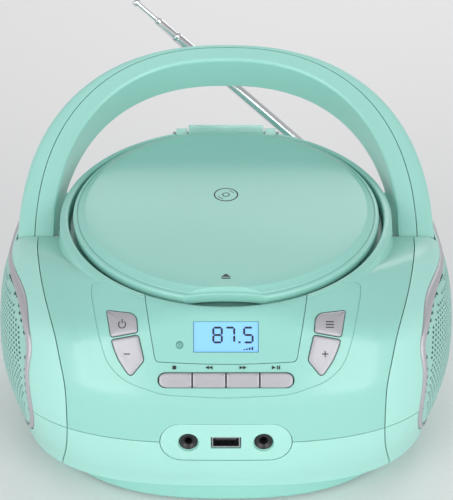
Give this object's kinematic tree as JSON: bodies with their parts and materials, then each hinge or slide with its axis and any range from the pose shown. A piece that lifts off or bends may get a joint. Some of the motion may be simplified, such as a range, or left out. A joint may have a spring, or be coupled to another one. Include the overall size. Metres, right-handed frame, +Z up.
{
  "type": "portable CD player",
  "caption": "Small rounded portable disc player with a top-loading round lid, front display and keys, side speakers, swing-up handle and telescopic antenna.",
  "frame": {"origin": "centre of the whole object's box at the plane that the feet stand on", "axes": "+X to the right seen from the front, -Y towards the user, +Z up"},
  "size_m": [0.2378, 0.237, 0.1935],
  "materials": {
    "mint_plastic": "satin moulded plastic",
    "pale_mint_plastic": "satin moulded plastic",
    "grille": "perforated",
    "silver": "silver painted plastic",
    "chrome": "polished",
    "steel": "plain",
    "window": "clear tinted",
    "display": "backlit",
    "board": "solder mask",
    "black_plastic": "satin",
    "rubber": "matte"
  },
  "bodies": {
    "cabinet": {"antenna_bracket": "black_plastic", "aux_jack": "black_plastic", "back_left_foot": "rubber", "back_right_foot": "rubber", "battery_box": "black_plastic", "button_board": "board", "disc_well": "mint_plastic", "display_window": "window", "drive_frame": "steel", "front_left_foot": "rubber", "front_right_foot": "rubber", "guide_rod": "steel", "jack_panel": "pale_mint_plastic", "lcd_module": "display", "left_handle_pin": "steel", "left_lower_side_panel": "pale_mint_plastic", "left_speaker_cone": "black_plastic", "left_speaker_frame": "black_plastic", "left_speaker_grille": "grille", "left_speaker_ring": "silver", "left_upper_side_panel": "pale_mint_plastic", "lid_hinge_pin": "steel", "lower_case": "pale_mint_plastic", "main_board": "board", "mains_inlet": "black_plastic", "phones_jack": "black_plastic", "plinth": "mint_plastic", "right_handle_pin": "steel", "right_lower_side_panel": "pale_mint_plastic", "right_speaker_cone": "black_plastic", "right_speaker_frame": "black_plastic", "right_speaker_grille": "grille", "right_speaker_ring": "silver", "right_upper_side_panel": "pale_mint_plastic", "sensor_lens": "black_plastic", "spindle_motor": "steel", "transformer": "steel", "upper_case": "mint_plastic", "usb_socket": "steel"},
    "handle": {"handle_outer_shell": "mint_plastic", "handle_inner_shell": "mint_plastic"},
    "lid": {"disc_lid": "mint_plastic", "disc_clamp": "black_plastic"},
    "turntable": {"turntable": "black_plastic"},
    "sled": {"laser_sled": "black_plastic"},
    "sled_gear": {"sled_gear": "black_plastic"},
    "antenna": {"antenna_knuckle": "chrome", "antenna_tube_1": "chrome"},
    "antenna_middle": {"antenna_tube_2": "chrome"},
    "antenna_end": {"antenna_tip": "chrome"},
    "battery_cover": {"battery_door": "mint_plastic"},
    "power_key": {"power_button": "silver"},
    "volume_down_key": {"volume_down_button": "silver"},
    "mode_key": {"mode_button": "silver"},
    "volume_up_key": {"volume_up_button": "silver"},
    "stop_key": {"stop_button": "silver"},
    "back_key": {"back_button": "silver"},
    "forward_key": {"forward_button": "silver"},
    "play_key": {"play_button": "silver"}
  },
  "joints": [
    {"name": "handle_swing", "type": "hinge", "parent": "cabinet", "child": "handle", "pos_m": [0, -0.0105, 0.1], "axis": [-1, 0, 0], "range_deg": [-50, 40]},
    {"name": "lid_open", "type": "hinge", "parent": "cabinet", "child": "lid", "pos_m": [0, 0.07138, 0.12753], "axis": [-1, 0, 0], "range_deg": [0, 56]},
    {"name": "turntable_spin", "type": "hinge", "parent": "cabinet", "child": "turntable", "pos_m": [0, -0.01294, 0.11012], "axis": [0, -0.1564, 0.9877], "continuous": true},
    {"name": "sled_travel", "type": "slide", "parent": "cabinet", "child": "sled", "axis": [0, -0.9877, -0.1564], "range_m": [0, 0.032]},
    {"name": "sled_gear_turn", "type": "hinge", "parent": "cabinet", "child": "sled_gear", "pos_m": [-0.021, -0.03819, 0.09701], "axis": [0, -0.1564, 0.9877], "range_deg": [-0.5, 306.58]},
    {"name": "antenna_swing", "type": "hinge", "parent": "cabinet", "child": "antenna", "pos_m": [0.082, 0.1145, 0.071], "axis": [0, 1, 0], "range_deg": [-42, 90]},
    {"name": "antenna_middle_slide", "type": "slide", "parent": "antenna", "child": "antenna_middle", "axis": [-0.7431, 0, 0.6691], "range_m": [-0.013, 0.09]},
    {"name": "antenna_end_slide", "type": "slide", "parent": "antenna_middle", "child": "antenna_end", "axis": [-0.7431, 0, 0.6691], "range_m": [-0.013, 0.08]},
    {"name": "battery_cover_out", "type": "slide", "parent": "cabinet", "child": "battery_cover", "axis": [0, 0, -1], "range_m": [0, 0.012]},
    {"name": "power_press", "type": "slide", "parent": "cabinet", "child": "power_key", "axis": [0, 0.8762, -0.4819], "range_m": [0, 0.0012], "stiffness_N_per_m": 400},
    {"name": "volume_down_press", "type": "slide", "parent": "cabinet", "child": "volume_down_key", "axis": [0, 0.8762, -0.4819], "range_m": [0, 0.0012], "stiffness_N_per_m": 400},
    {"name": "mode_press", "type": "slide", "parent": "cabinet", "child": "mode_key", "axis": [0, 0.8762, -0.4819], "range_m": [0, 0.0012], "stiffness_N_per_m": 400},
    {"name": "volume_up_press", "type": "slide", "parent": "cabinet", "child": "volume_up_key", "axis": [0, 0.8762, -0.4819], "range_m": [0, 0.0012], "stiffness_N_per_m": 400},
    {"name": "stop_press", "type": "slide", "parent": "cabinet", "child": "stop_key", "axis": [0, 0.8762, -0.4819], "range_m": [0, 0.0012], "stiffness_N_per_m": 400},
    {"name": "back_press", "type": "slide", "parent": "cabinet", "child": "back_key", "axis": [0, 0.8762, -0.4819], "range_m": [0, 0.0012], "stiffness_N_per_m": 400},
    {"name": "forward_press", "type": "slide", "parent": "cabinet", "child": "forward_key", "axis": [0, 0.8762, -0.4819], "range_m": [0, 0.0012], "stiffness_N_per_m": 400},
    {"name": "play_press", "type": "slide", "parent": "cabinet", "child": "play_key", "axis": [0, 0.8762, -0.4819], "range_m": [0, 0.0012], "stiffness_N_per_m": 400}
  ],
  "couplings": [
    {"joint": "sled_gear_turn", "follows": "sled_travel", "rad_per_m": 166.67}
  ]
}
